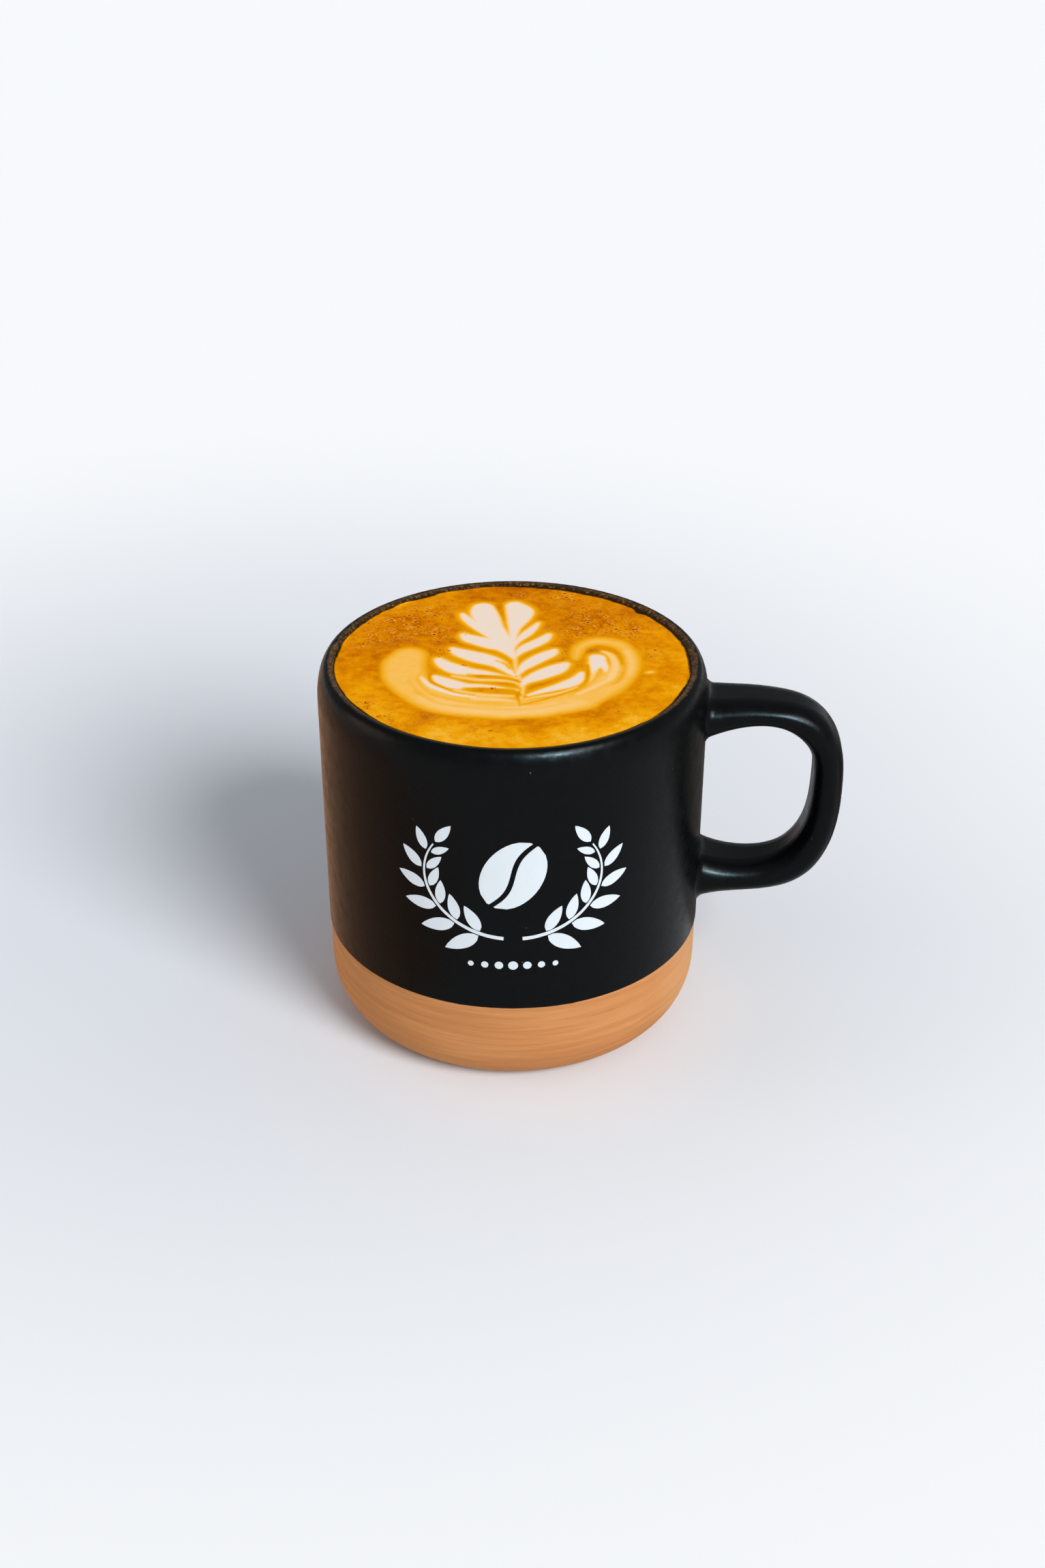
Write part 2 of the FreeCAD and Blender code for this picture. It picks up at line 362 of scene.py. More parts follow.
# --- the coffee -------------------------------------------------------------
# Espresso crema up to the brim with steamed milk poured into it: a leaf with
# a stem, held in a wing that curls over at the right. The pattern is drawn
# with strokes, and their depth at each spot says how much milk lies there.

LEVEL = drink_high.z
DRINK_RADIUS = drink_high.x
DRINK_MM = DRINK_RADIUS * 1000
GRID = 300
SETTLED = 0.00008          # how far the crema lies under the level
RISE_FROM = 0.985          # the share of the radius where it starts to creep up the wall
RISE = 0.00022
# How its side goes down the cup: share of the radius, height.
SIDE_RINGS = [
    (0.993, LEVEL - 0.002),
    (0.98, drink_low.z + 0.009),
    (0.78, drink_low.z + 0.0006),
]
ART_TURN = math.radians(3.0)

# Every stroke is a run of (x, y, half width) in millimetres, as poured. The
# white ones are the leaflets and the heart of the curl.
WHITE_STROKES = [
    # the leaf's left side, from the crown down
    [(-6.6, 27.0, 2.5), (-6.3, 24.2, 3.0), (-5.2, 20.0, 2.9),
     (-4.0, 16.0, 2.5), (-2.6, 12.0, 2.1), (-1.2, 8.0, 1.4)],
    [(-10.9, 23.7, 0.6), (-9.9, 21.2, 1.2), (-8.0, 17.9, 1.6), (-5.4, 14.5, 1.7), (-3.0, 11.4, 1.8)],
    [(-10.8, 13.1, 0.9), (-9.3, 11.4, 1.7), (-6.8, 10.0, 2.1),
     (-4.0, 8.7, 2.5), (-1.8, 7.0, 2.0), (0.1, 2.0, 0.6)],
    [(-12.8, 6.5, 0.8), (-11.3, 4.6, 1.8), (-8.8, 2.9, 2.3),
     (-6.0, 1.4, 2.5), (-3.4, -0.8, 1.9), (0.3, -6.0, 0.5)],
    [(-15.7, 1.0, 1.2), (-14.2, -1.2, 1.9), (-11.8, -3.3, 2.2),
     (-8.8, -4.6, 1.6), (-5.8, -5.1, 0.9), (0.8, -7.5, 0.5)],
    [(-16.4, -6.6, 0.8), (-14.7, -8.4, 1.6), (-12.2, -10.2, 1.9),
     (-9.4, -10.9, 1.2), (-6.0, -10.8, 0.7), (1.0, -12.8, 0.4)],
    [(-19.2, -7.0, 0.45), (-18.0, -9.5, 0.85), (-15.8, -12.0, 1.0),
     (-12.5, -14.1, 1.0), (-8.0, -15.6, 0.7)],
    # the leaf's right side, from the crown down
    [(0.6, 28.0, 2.3), (1.5, 25.4, 3.1), (1.5, 22.6, 2.9),
     (0.9, 19.4, 2.0), (0.3, 15.6, 1.2), (-0.4, 6.0, 0.8)],
    [(5.8, 19.4, 0.5), (4.7, 17.0, 1.0), (3.3, 14.3, 1.3),
     (1.8, 11.8, 1.0), (0.7, 9.4, 0.7), (0.1, 7.0, 0.5)],
    [(8.1, 13.2, 0.8), (6.9, 11.2, 1.4), (5.0, 9.0, 1.6),
     (2.9, 7.0, 1.5), (1.3, 5.0, 1.0), (0.6, 3.0, 0.5)],
    [(9.2, 5.8, 0.7), (8.0, 4.0, 1.5), (5.9, 2.0, 1.8),
     (3.7, -0.4, 1.6), (1.9, -2.9, 1.0), (0.9, -5.5, 0.5)],
    [(11.2, -1.2, 1.0), (9.6, -3.0, 1.9), (7.2, -4.8, 2.1),
     (4.8, -6.8, 1.9), (2.8, -8.8, 1.2), (2.0, -11.0, 0.5)],
    [(14.6, -5.2, 0.8), (13.7, -7.6, 1.5), (11.8, -9.9, 1.8),
     (9.2, -11.7, 1.4), (6.4, -13.2, 0.9), (3.6, -14.9, 0.5)],
    # the curl, with its two prongs
    [(18.1, 1.7, 2.0), (18.0, -0.6, 1.9), (17.5, -2.8, 1.1), (17.0, -5.0, 0.45)],
    [(18.8, 0.0, 1.4), (19.6, -2.4, 0.9), (19.7, -4.6, 0.4)],
    # a drip that fell beside it
    [(28.8, -4.6, 0.25), (29.4, -4.5, 0.25)],
]

# Thinner, peach-coloured milk: streaks under the leaflets and in the curl,
# and the leaf's stem.
PEACH_STROKES = [
    [(-12.6, -6.4, 0.5), (-8.0, -7.8, 0.65), (-4.0, -8.2, 0.6), (0.0, -9.0, 0.5), (1.9, -11.0, 0.4)],
    [(-12.0, -12.8, 0.6), (-8.0, -14.5, 0.7), (-4.0, -15.1, 0.7), (0.0, -15.4, 0.5)],
    [(-8.0, -16.3, 1.0), (-3.0, -17.0, 0.9), (1.0, -18.0, 0.4)],
    [(13.4, -11.9, 0.5), (11.0, -13.9, 0.6), (8.0, -15.1, 0.65), (5.0, -15.8, 0.6), (2.4, -17.0, 0.4)],
    [(19.6, 4.9, 0.6), (21.2, 3.0, 0.9), (21.9, -0.6, 1.1),
     (21.3, -4.0, 1.3), (19.6, -8.0, 1.3), (14.0, -14.6, 0.8)],
    [(17.8, -1.6, 1.1), (17.2, -5.0, 0.9), (16.3, -8.4, 0.6), (14.2, -11.8, 0.45), (11.0, -14.6, 0.3)],
    [(-0.8, 15.0, 0.4), (0.3, 2.0, 0.6), (0.7, -4.0, 0.5),
     (1.8, -9.0, 0.5), (2.3, -13.0, 0.45), (1.5, -19.0, 0.3)],
]

# The wing's left lobe and foot, the curl it ends in, and the thin milk
# between them and the leaf.
WING_STROKES = [
    [(-22.2, 3.0, 3.6), (-23.2, -1.5, 4.5), (-22.6, -7.0, 4.7), (-19.8, -13.0, 4.4), (-15.0, -17.6, 4.3),
     (-8.0, -20.4, 4.0), (0.0, -21.4, 3.7), (7.0, -20.6, 3.5), (14.4, -17.4, 3.6)],
    [(13.4, 1.6, 0.6), (13.9, 4.6, 1.2), (15.4, 8.0, 1.4), (18.8, 10.2, 1.6), (22.6, 8.6, 1.7),
     (25.2, 4.2, 1.6), (25.6, -1.6, 1.5), (24.0, -7.4, 1.5), (20.2, -12.6, 2.3), (14.4, -17.2, 3.5)],
    [(21.8, -3.0, 2.4), (19.4, -8.5, 2.6), (15.6, -13.4, 2.4)],
    [(-15.0, -13.5, 1.6), (-9.0, -15.8, 2.0), (-3.0, -17.0, 2.2),
     (1.2, -18.4, 1.6), (8.0, -17.2, 1.6), (13.0, -14.6, 1.2)],
]

# Where the wing is brightest.
BRIGHT_STROKES = [
    [(-19.0, -16.4, 0.6), (-14.0, -19.4, 1.8), (-7.0, -21.6, 2.2),
     (0.0, -22.2, 2.2), (7.0, -21.2, 1.8), (14.0, -18.4, 0.6)],
    [(24.6, 4.6, 0.5), (25.2, -1.0, 0.8), (24.6, -5.4, 0.5)],
]

# Golden gaps, where crema shows through the milk.
GOLD_STROKES = [
    [(-3.9, 0.9, 0.2), (-2.1, -0.7, 0.35), (-0.8, -3.0, 0.3)],
    [(-9.4, -5.7, 0.3), (-5.2, -6.5, 0.6), (-1.0, -7.1, 0.6), (1.6, -9.2, 0.3)],
    [(-10.2, -11.8, 0.3), (-6.6, -12.6, 0.85), (-3.0, -12.9, 1.1), (0.0, -13.0, 0.7), (1.8, -15.0, 0.3)],
    [(16.0, -1.5, 0.3), (16.2, -6.0, 0.4), (15.2, -10.2, 0.4),
     (12.8, -13.2, 0.35), (9.0, -15.9, 0.3), (2.2, -19.2, 0.25)],
    [(-17.4, -5.0, 0.3), (-17.2, -8.6, 0.35), (-15.0, -11.2, 0.35),
     (-12.0, -13.6, 0.3), (-8.0, -15.0, 0.25)],
    [(-3.2, 28.6, 0.8), (-2.6, 24.6, 0.4), (-2.0, 20.8, 0.05)],
    [(1.2, -16.6, 0.2), (1.5, -18.4, 0.25), (1.6, -20.0, 0.1)],
]

# Fine darker threads, drawn out in the wing as it was poured.
THREAD_STROKES = [
    [(-19.3, -4.6, 0.1), (-20.0, -8.4, 0.2), (-18.2, -12.8, 0.25),
     (-14.6, -16.0, 0.25), (-9.0, -18.0, 0.2), (-2.0, -18.9, 0.15)],
    [(-21.0, -13.0, 0.1), (-16.8, -17.6, 0.25), (-10.4, -20.4, 0.25),
     (-3.0, -21.4, 0.25), (4.0, -21.2, 0.2), (11.0, -18.9, 0.1)],
    [(18.6, 7.6, 0.3), (21.6, 6.0, 0.35), (23.4, 2.4, 0.4),
     (23.8, -2.0, 0.35), (22.8, -6.6, 0.2), (21.0, -10.4, 0.1)],
    [(19.4, 4.0, 0.15), (20.6, 1.6, 0.2), (20.9, -1.6, 0.2),
     (20.2, -5.0, 0.2), (18.4, -8.8, 0.25), (12.0, -15.2, 0.15)],
    [(3.4, -15.9, 0.15), (7.0, -14.5, 0.25), (10.4, -13.1, 0.15)],
    [(-22.0, -9.0, 0.1), (-19.4, -14.2, 0.2), (-14.0, -19.0, 0.2), (-7.0, -20.0, 0.2), (0.0, -20.2, 0.1)],
    [(-17.8, -14.4, 0.1), (-13.0, -17.0, 0.2), (-7.0, -18.8, 0.2), (0.0, -19.6, 0.15), (6.0, -18.9, 0.1)],
]

TOAST = 0.46               # how dark the crema is elsewhere

# Where the crema is darker (+) or paler (-) than elsewhere: x, y, reach, by
# how much.
CREMA_PATCHES = [
    (-24.0, 17.0, 9.0, 0.20), (-14.0, 12.0, 5.0, 0.16), (-31.0, 6.0, 6.0, 0.14),
    (-8.0, 36.0, 8.0, 0.20), (12.0, 25.0, 7.0, 0.14), (21.0, 20.0, 8.0, 0.12), (4.0, 36.0, 7.0, 0.22),
    (12.0, 10.0, 4.0, 0.07), (-28.0, -5.0, 4.0, 0.16), (-18.0, -24.0, 5.0, 0.18),
    (3.0, -28.0, 6.0, 0.14), (20.0, -22.0, 6.0, 0.14), (31.0, -6.0, 5.0, 0.06), (17.8, 5.4, 2.2, 0.22),
    (-37.0, -2.0, 5.0, 0.10), (26.0, 27.0, 6.0, 0.10), (-32.0, -15.0, 5.0, -0.16),
    (-27.0, -23.0, 5.0, -0.26), (-14.0, -33.0, 7.0, -0.30), (-1.0, -35.0, 6.0, -0.26),
    (12.0, -34.0, 6.0, -0.30), (26.0, -28.0, 6.0, -0.34), (36.0, -12.0, 5.0, -0.24),
    (36.0, 5.0, 5.0, -0.16), (-24.0, 27.0, 4.0, -0.10), (18.0, -32.5, 4.5, -0.22),
    (-26.0, -17.5, 4.0, 0.12), (10.5, 18.0, 4.0, 0.12),
]

# Where the crema is frothy, with small open bubbles: x, y, reach, how much.
FROTH_PATCHES = [
    (-24.0, 18.0, 7.0, 0.9), (-16.5, 15.0, 4.0, 0.9), (-18.0, 24.5, 5.0, 0.7), (-29.5, 12.0, 4.0, 0.7),
    (-12.8, 10.5, 1.8, 1.0), (-14.4, 5.4, 1.8, 1.0), (-16.4, 3.0, 1.4, 0.9), (-10.0, -0.9, 1.0, 1.0),
    (18.0, 21.0, 6.5, 0.85), (25.5, 17.0, 5.0, 0.8), (13.5, 14.5, 4.0, 0.85), (9.8, 12.8, 1.5, 1.0),
    (10.9, 5.0, 1.6, 1.0), (10.8, 1.0, 1.4, 1.0), (11.5, -2.6, 0.9, 1.0), (7.4, 15.4, 1.6, 0.9),
    (12.0, 33.0, 5.0, 0.7), (2.0, 33.0, 3.0, 0.5), (-30.4, -19.0, 2.2, 0.7), (-26.0, -25.0, 4.0, 0.4),
    (-18.0, -24.0, 5.0, 0.25), (-8.0, -29.0, 6.0, 0.18), (29.0, 5.0, 4.0, 0.35),
    (22.0, -22.5, 2.0, 0.4), (-33.0, 8.0, 2.0, 0.7), (-4.0, -2.6, 0.9, 0.7), (18.0, 5.4, 1.6, 0.4),
]

# How much milk each kind of stroke holds or takes away, and how softly its
# edge runs out: from so far outside the stroke to so far inside it.
WHITE_EDGE = (-0.85, 0.80)
HALO_MILK, HALO_EDGE = 0.20, (-2.0, -0.4)
WING_MILK, WING_EDGE = 0.48, (-1.9, 1.7)
BRIGHT_MILK, BRIGHT_EDGE = 0.13, (-1.8, 1.4)
PEACH_MILK, PEACH_EDGE = 0.66, (-0.7, 0.6)
THREAD_LOSS, THREAD_EDGE = 0.24, (-0.5, 0.3)
GOLD_LOSS, GOLD_EDGE = 0.75, (-0.5, 0.45)
FAR_OUTSIDE = -9.0
EDGE_ROOM = 3.2            # how far round a stroke its edge is worked out

# The dark seam at the glaze: its width, how much wider it is towards the
# back and right, and a notch where the crema has drawn back.
SEAM_WIDTH, SEAM_WIDER, SEAM_TOWARDS = 0.25, 0.35, 0.6
NOTCH_DEPTH, NOTCH_AT, NOTCH_REACH = 0.9, 0.72, 0.035
SEAM_EDGE = (-0.05, 0.25)

# How far the drawing strays from its lines, in millimetres, and the waves of
# that straying for each millimetre.
MILK_STRAY, TOAST_STRAY, FROTH_STRAY = 0.45, 2.5, 0.8
SEAM_STRAY, SEAM_RIPPLE = 0.45, 0.12
DRIFT_WAVES, RIPPLE_WAVES = 0.16, 0.8
STRAY_SEED = 5             # without it the straying would differ each time


def along_stroke(stroke, parts=4):
    """The stations of a stroke with a smooth run of others between them."""
    stations = np.array(stroke)
    padded = np.vstack([stations[:1], stations, stations[-1:]])
    found = []
    for a, b, c, d in zip(padded, padded[1:], padded[2:], padded[3:]):
        for t in np.arange(parts) / parts:
            bend = (c - a) * t + (2 * a - 5 * b + 4 * c - d) * t ** 2 + (3 * b - 3 * c + d - a) * t ** 3
            found.append(b + bend / 2)
    return found + [stations[-1]]


def inside_strokes(strokes, spots):
    """How far inside the nearest stroke each spot lies, in millimetres."""
    depth = np.full(len(spots), FAR_OUTSIDE)
    for stroke in strokes:
        line = along_stroke(stroke)
        for start, end in zip(line, line[1:]):
            reach = max(start[2], end[2]) + EDGE_ROOM
            low = np.minimum(start[:2], end[:2]) - reach
            high = np.maximum(start[:2], end[:2]) + reach
            near = np.all((spots > low) & (spots < high), axis=1)
            run = end[:2] - start[:2]
            aside = spots[near] - start[:2]
            share = np.clip(aside @ run / (run @ run), 0.0, 1.0)
            away = np.linalg.norm(aside - share[:, None] * run, axis=1)
            half = start[2] + share * (end[2] - start[2])
            depth[near] = np.maximum(depth[near], half - away)
    return depth


def ease(value, low, high):
    """A soft step from 0 at low to 1 at high."""
    share = np.clip((value - low) / (high - low), 0.0, 1.0)
    return share * share * (3 - 2 * share)


def milk_at(spots):
    """The share of milk at each spot: white in the leaf, less in the wing,
    and a faint golden halo round the leaf."""
    white = inside_strokes(WHITE_STROKES, spots)
    milk = WING_MILK * ease(inside_strokes(WING_STROKES, spots), *WING_EDGE)
    milk += BRIGHT_MILK * ease(inside_strokes(BRIGHT_STROKES, spots), *BRIGHT_EDGE)
    milk = np.maximum(milk, PEACH_MILK * ease(inside_strokes(PEACH_STROKES, spots), *PEACH_EDGE))
    milk = np.maximum(milk, HALO_MILK * ease(white, *HALO_EDGE))
    milk *= 1 - THREAD_LOSS * ease(inside_strokes(THREAD_STROKES, spots), *THREAD_EDGE)
    milk = np.maximum(milk, ease(white, *WHITE_EDGE))
    return milk * (1 - GOLD_LOSS * ease(inside_strokes(GOLD_STROKES, spots), *GOLD_EDGE))


def toast_at(spots):
    """How dark the crema is at each spot, from 0 to 1."""
    toast = np.full(len(spots), TOAST)
    for x, y, reach, change in CREMA_PATCHES:
        away = (spots[:, 0] - x) ** 2 + (spots[:, 1] - y) ** 2
        toast += change * np.exp(-away / reach ** 2)
    return np.clip(toast, 0.0, 1.0)


def froth_at(spots):
    """How frothy the crema is at each spot, from 0 to 1."""
    froth = np.zeros(len(spots))
    for x, y, reach, amount in FROTH_PATCHES:
        away = (spots[:, 0] - x) ** 2 + (spots[:, 1] - y) ** 2
        froth = np.maximum(froth, amount * np.exp(-away / reach ** 2))
    return froth


def wet_at(spots):
    """1 on the thin dark seam where the coffee meets the glaze, 0 elsewhere."""
    turn = np.arctan2(spots[:, 1], spots[:, 0])
    width = SEAM_WIDTH + SEAM_WIDER * ease(np.cos(turn - SEAM_TOWARDS), 0.2, 0.9)
    width += NOTCH_DEPTH * np.exp(-((turn - NOTCH_AT) / NOTCH_REACH) ** 2)
    start, full = (DRINK_MM + edge for edge in SEAM_EDGE)
    return ease(np.hypot(spots[:, 0], spots[:, 1]) + width, start, full)


def stray(spots, waves):
    """A smooth shift of every spot, the same on each run."""
    noise.seed_set(STRAY_SEED)
    return np.array([noise.noise_vector((x * waves, y * waves, 0.0))[:2] for x, y in spots])


def drink_shape(shape):
    """A fine grid drawn into a disc, its rim taken down the cup's inside."""
    bmesh.ops.create_grid(shape, x_segments=GRID, y_segments=GRID, size=1.0)
    for vert in shape.verts:
        u, v = vert.co.x, vert.co.y
        x = u * math.sqrt(1 - v * v / 2)
        y = v * math.sqrt(1 - u * u / 2)
        climb = max(0.0, math.hypot(x, y) - RISE_FROM) / (1 - RISE_FROM)
        vert.co = (x * DRINK_RADIUS, y * DRINK_RADIUS, LEVEL + RISE * climb ** 2 - SETTLED)
    rim = [edge for edge in shape.edges if edge.is_boundary]
    for share, height in SIDE_RINGS:
        out = bmesh.ops.extrude_edge_only(shape, edges=rim)
        ring = [item for item in out["geom"] if isinstance(item, bmesh.types.BMVert)]
        rim = [item for item in out["geom"] if isinstance(item, bmesh.types.BMEdge)]
        for vert in ring:
            reach = math.hypot(vert.co.x, vert.co.y)
            vert.co.x *= DRINK_RADIUS * share / reach
            vert.co.y *= DRINK_RADIUS * share / reach
            vert.co.z = height
    bmesh.ops.holes_fill(shape, edges=rim)
    bmesh.ops.recalc_face_normals(shape, faces=shape.faces)
    for face in shape.faces:
        face.smooth = True


def ramp_of(nodes, links, value, tones):
    """A colour ramp from a list of (position, colour)."""
    ramp = nodes.new("ShaderNodeValToRGB")
    stops = ramp.color_ramp.elements
    while len(stops) < len(tones):
        stops.new(1.0)
    for stop, (position, tone) in zip(stops, tones):
        stop.position = position
        stop.color = tone + (1.0,)
    links.new(value, ramp.inputs["Fac"])
    return ramp.outputs["Color"]


def share_of(nodes, name):
    """What the mesh says about a spot, under this name."""
    node = nodes.new("ShaderNodeAttribute")
    node.attribute_name = name
    return node.outputs["Fac"]


CREMA_TONES = [
    (0.00, (0.92, 0.50, 0.045)),
    (0.25, (0.86, 0.37, 0.003)),
    (0.50, (0.72, 0.240, 0.0004)),
    (0.75, (0.51, 0.125, 0.0003)),
    (1.00, (0.31, 0.052, 0.0003)),
]
MILK_TONES = [
    (0.00, (0.76, 0.27, 0.0006)),
    (0.20, (0.84, 0.375, 0.003)),
    (0.42, (0.93, 0.48, 0.055)),
    (0.62, (0.95, 0.58, 0.19)),
    (0.82, (0.90, 0.66, 0.44)),
    (1.00, (0.86, 0.71, 0.60)),
]
PIT_SHADE_TONE = (0.24, 0.045, 0.001, 1.0)
BUBBLE_HIGHLIGHT_TONE = (0.95, 0.43, 0.04, 1.0)
SEAM_TONE = (0.030, 0.014, 0.003, 1.0)
# Unevenness of the crema: how fine it is, and how far it shifts the tone.
CLOUDS, CLOUD_SHIFT = 200.0, 0.08
FLECKS, FLECK_SHIFT = 620.0, 0.09
GRAIN, GRAIN_SHIFT = 2400.0, 0.04
MILK_SHIFT = 0.02
OPEN_BUBBLES, FINE_BUBBLES = 660.0, 1100.0
CREMA_RELIEF = 0.00006     # how deep its open bubbles are


def frothy_crema(nodes, links, place, flecks, crema):
    """Crema with small open bubbles where it is frothy: a dark middle of painted
    shade in a paler ring of painted highlight. Also gives the mask of their middles."""
    froth = sum_of(nodes, links, "MULTIPLY", share_of(nodes, "froth"), 1.5)
    froth = sum_of(nodes, links, "MULTIPLY", froth, rescale(nodes, links, flecks, 0.2, 0.8, 0.3, 1.2))
    froth = sum_of(nodes, links, "MINIMUM", froth, 1.0)
    ring = place_group(nodes, links, SPECKS, place, Per_Metre=OPEN_BUBBLES, Core=0.36, Rim=0.56)
    core = place_group(nodes, links, SPECKS, place, Per_Metre=OPEN_BUBBLES, Core=0.16, Rim=0.36)
    fine = place_group(nodes, links, SPECKS, place, Per_Metre=FINE_BUBBLES, Core=0.20, Rim=0.42)
    ring = sum_of(nodes, links, "MULTIPLY", ring, sum_of(nodes, links, "MULTIPLY", froth, 0.6))
    core = sum_of(nodes, links, "MAXIMUM", core, sum_of(nodes, links, "MULTIPLY", fine, 0.55))
    core = sum_of(nodes, links, "MULTIPLY", core, froth)
    # Painted highlight: the paler ring round each open bubble.
    crema = blend_tone(nodes, links, ring, crema, BUBBLE_HIGHLIGHT_TONE)
    # Painted shade: the dark middle of each open bubble.
    crema = blend_tone(nodes, links, sum_of(nodes, links, "MULTIPLY", core, 0.95), crema, PIT_SHADE_TONE)
    return crema, core


def coffee_finish():
    material, nodes, links, surface = material_parts("crema_and_milk")
    place = object_place(nodes)
    clouds = place_group(nodes, links, MOTTLE, place, Per_Metre=CLOUDS, Low=0.30, High=0.70)
    flecks = place_group(nodes, links, MOTTLE, place, Per_Metre=FLECKS, Low=0.32, High=0.70)
    grain = place_group(nodes, links, MOTTLE, place, Per_Metre=GRAIN, Low=0.25, High=0.75)
    toast = share_of(nodes, "toast")
    for mask, shift in ((clouds, CLOUD_SHIFT), (flecks, FLECK_SHIFT), (grain, GRAIN_SHIFT)):
        toast = sum_of(nodes, links, "ADD", toast, rescale(nodes, links, mask, 0.0, 1.0, -shift, shift))
    crema = ramp_of(nodes, links, toast, CREMA_TONES)
    crema, core = frothy_crema(nodes, links, place, flecks, crema)

    milk = share_of(nodes, "milk")
    uneven = rescale(nodes, links, flecks, 0.0, 1.0, -MILK_SHIFT, MILK_SHIFT)
    milky = ramp_of(nodes, links, sum_of(nodes, links, "ADD", milk, uneven), MILK_TONES)
    tone = blend_tone(nodes, links, rescale(nodes, links, milk, 0.02, 0.2, 0.0, 1.0), crema, milky)
    tone = blend_tone(nodes, links, share_of(nodes, "wet"), tone, SEAM_TONE)
    links.new(tone, surface.inputs["Base Color"])
    surface.inputs["Roughness"].default_value = 0.5
    surface.inputs["Specular IOR Level"].default_value = 0.0
    grain = sum_of(nodes, links, "MULTIPLY", grain, 0.2)
    relief(nodes, links, surface, sum_of(nodes, links, "SUBTRACT", grain, core), CREMA_RELIEF)
    return material


coffee = plain_piece("coffee_and_milk", drink_shape)
coffee.data.materials.append(coffee_finish())
turn_art = np.array([[math.cos(ART_TURN), -math.sin(ART_TURN)], [math.sin(ART_TURN), math.cos(ART_TURN)]])
spots = np.array([vert.co.xy for vert in coffee.data.vertices]) * 1000 @ turn_art
drift = stray(spots, DRIFT_WAVES)
ripple = stray(spots, RIPPLE_WAVES)
shares = {
    "milk": milk_at(spots + MILK_STRAY * drift),
    "toast": toast_at(spots + TOAST_STRAY * drift),
    "froth": froth_at(spots + FROTH_STRAY * drift),
    "wet": wet_at(spots + SEAM_STRAY * drift + SEAM_RIPPLE * ripple),
}
for share_name, values in shares.items():
    coffee.data.attributes.new(share_name, "FLOAT", "POINT").data.foreach_set("value", values)
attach(coffee, "root")
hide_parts("coffee", "milk_foam")

# --- the bubbles ------------------------------------------------------------
# Larger bubbles that still stand on the crema: thin domes of coffee and milk,
# strewn in small clusters near the rim and along the tips of the leaf.

# x, y, spread, how many, largest radius, in millimetres.
BUBBLE_CLUSTERS = [
    (-24.0, 18.5, 4.5, 34, 0.42), (-17.0, 15.5, 2.6, 16, 0.40), (-19.0, 24.5, 3.0, 12, 0.40),
    (-12.8, 10.5, 0.8, 5, 0.36), (-14.4, 5.4, 0.8, 5, 0.36), (-16.2, 3.0, 0.5, 4, 0.36),
    (-10.0, -0.9, 0.4, 3, 0.40), (18.0, 21.0, 3.6, 18, 0.38), (25.0, 17.0, 3.0, 14, 0.38),
    (10.8, 5.0, 0.6, 4, 0.34), (10.6, 1.0, 0.4, 3, 0.36), (-30.3, -18.6, 0.5, 3, 0.62),
    (-30.2, -20.6, 0.3, 2, 0.55), (-27.2, -24.6, 0.8, 5, 0.40), (-33.0, 9.0, 0.5, 3, 0.55),
    (8.4, 36.6, 0.7, 5, 0.50), (12.4, 35.4, 0.4, 3, 0.44), (0.6, 37.2, 0.3, 2, 0.44),
    (-4.3, -12.3, 0.4, 3, 0.36), (-4.6, -30.4, 0.3, 2, 0.44), (22.2, -22.4, 0.3, 2, 0.42),
    (31.5, 5.4, 0.4, 2, 0.36), (-36.0, -18.0, 1.5, 6, 0.3),
]
BUBBLE_SEED = 11
BUBBLE_LEAST = 0.45        # the smallest radius, as a share of the largest
BUBBLE_SQUAT = 0.6         # its height as a share of its radius
BUBBLE_SUNK = 0.00012
RIM_CLEAR = 1.0
BUBBLE_TONE = (0.36, 0.085, 0.002, 1.0)


def bubble_domes(shape):
    """Every bubble, as a small round cap that is a little sunk in the crema."""
    chance = np.random.default_rng(BUBBLE_SEED)
    squat = Matrix.Diagonal((1.0, 1.0, BUBBLE_SQUAT, 1.0))
    for x, y, spread, count, largest in BUBBLE_CLUSTERS:
        for middle in chance.normal((x, y), spread, (count, 2)):
            if math.hypot(*middle) > DRINK_MM - RIM_CLEAR:
                continue
            radius = largest * chance.uniform(BUBBLE_LEAST, 1.0) / 1000
            at = turn_art @ middle / 1000
            place = Matrix.Translation((at[0], at[1], LEVEL - BUBBLE_SUNK))
            bmesh.ops.create_icosphere(shape, subdivisions=2, radius=radius, matrix=place @ squat)
    bmesh.ops.recalc_face_normals(shape, faces=shape.faces)
    for face in shape.faces:
        face.smooth = True


def bubble_finish():
    material, nodes, links, surface = material_parts("bubble_skin")
    place = object_place(nodes)
    swirl = place_group(nodes, links, MOTTLE, place, Per_Metre=1500.0, Low=0.35, High=0.65)
    crema = CREMA_TONES[2][1] + (1.0,)
    links.new(blend_tone(nodes, links, swirl, BUBBLE_TONE, crema), surface.inputs["Base Color"])
    surface.inputs["Roughness"].default_value = 0.5
    surface.inputs["Specular IOR Level"].default_value = 0.0
    return material


bubbles = plain_piece("crema_bubbles", bubble_domes)
bubbles.data.materials.append(bubble_finish())
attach(bubbles, "root")

# --- the print --------------------------------------------------------------
# A plain ornament in pale enamel, fired on the glaze at the front: a coffee
# bean between two leafy sprigs, with a row of dots under it.

